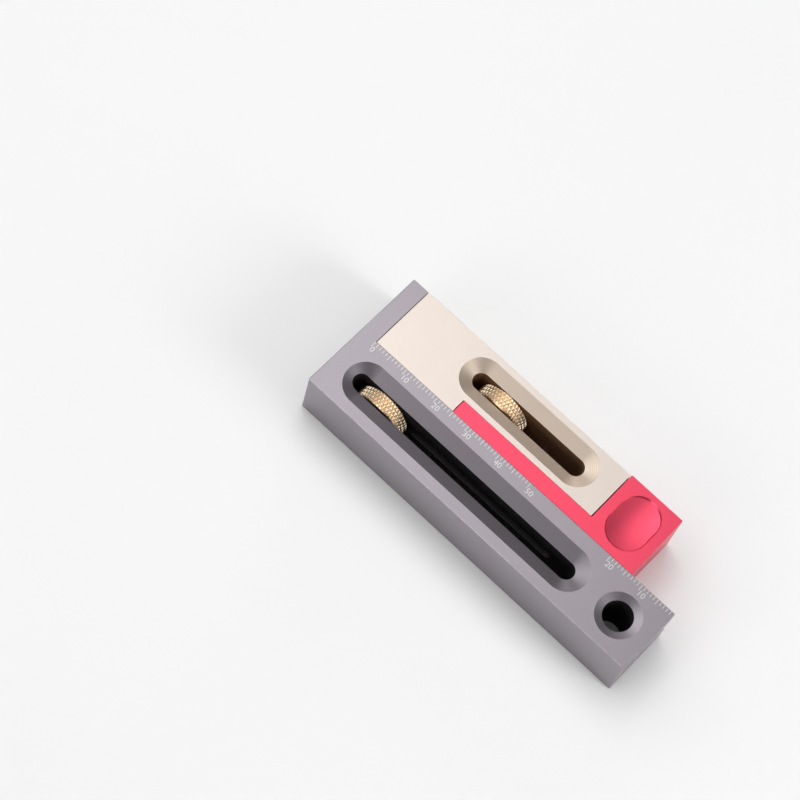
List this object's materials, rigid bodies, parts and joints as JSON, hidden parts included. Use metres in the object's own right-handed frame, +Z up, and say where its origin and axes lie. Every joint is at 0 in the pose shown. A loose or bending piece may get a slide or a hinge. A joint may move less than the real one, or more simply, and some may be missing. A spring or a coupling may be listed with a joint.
{
  "type": "marking gauge",
  "caption": "L-shaped sliding gauge block with a graduated bar, a locking main slide and a locking kerf slide, for setting joint widths from a saw kerf.",
  "frame": {"origin": "centre of the footprint at rest, on the underside", "axes": "+X along the graduated bar, from the foot to the hanging hole; +Y from the bar towards the slides; +Z up through the thickness, towards the graduated face"},
  "size_m": [0.1, 0.0374, 0.017],
  "materials": {
    "anodised_grey": "bead-blasted, grey anodised, matt",
    "anodised_champagne": "bead-blasted, champagne anodised, matt",
    "anodised_red": "bead-blasted, pinkish red anodised, matt",
    "brass": "turned, diamond-knurled rim",
    "stud_steel": "zinc-plated machine thread"
  },
  "bodies": {
    "gauge_body": {"gauge_body": "anodised_grey"},
    "main_slide": {"main_slide": "anodised_champagne", "main_lock_stud": "stud_steel"},
    "kerf_slide": {"kerf_slide": "anodised_red", "kerf_lock_stud": "stud_steel"},
    "main_thumb_nut": {"main_thumb_nut": "brass"},
    "kerf_thumb_nut": {"kerf_thumb_nut": "brass"}
  },
  "joints": [
    {"name": "main_slide_travel", "type": "slide", "parent": "gauge_body", "child": "main_slide", "axis": [1, 0, 0], "range_m": [0, 0.0505]},
    {"name": "kerf_slide_travel", "type": "slide", "parent": "main_slide", "child": "kerf_slide", "axis": [1, 0, 0], "range_m": [0, 0.016]},
    {"name": "main_nut_turn", "type": "hinge", "parent": "main_slide", "child": "main_thumb_nut", "pos_m": [-0.03383, -0.0096, 0.0085], "axis": [0, -1, 0], "range_deg": [0, 250]},
    {"name": "kerf_nut_turn", "type": "hinge", "parent": "kerf_slide", "child": "kerf_thumb_nut", "pos_m": [-0.0139, 0.0112, 0.0085], "axis": [0, 1, 0], "range_deg": [-250, 0]}
  ]
}
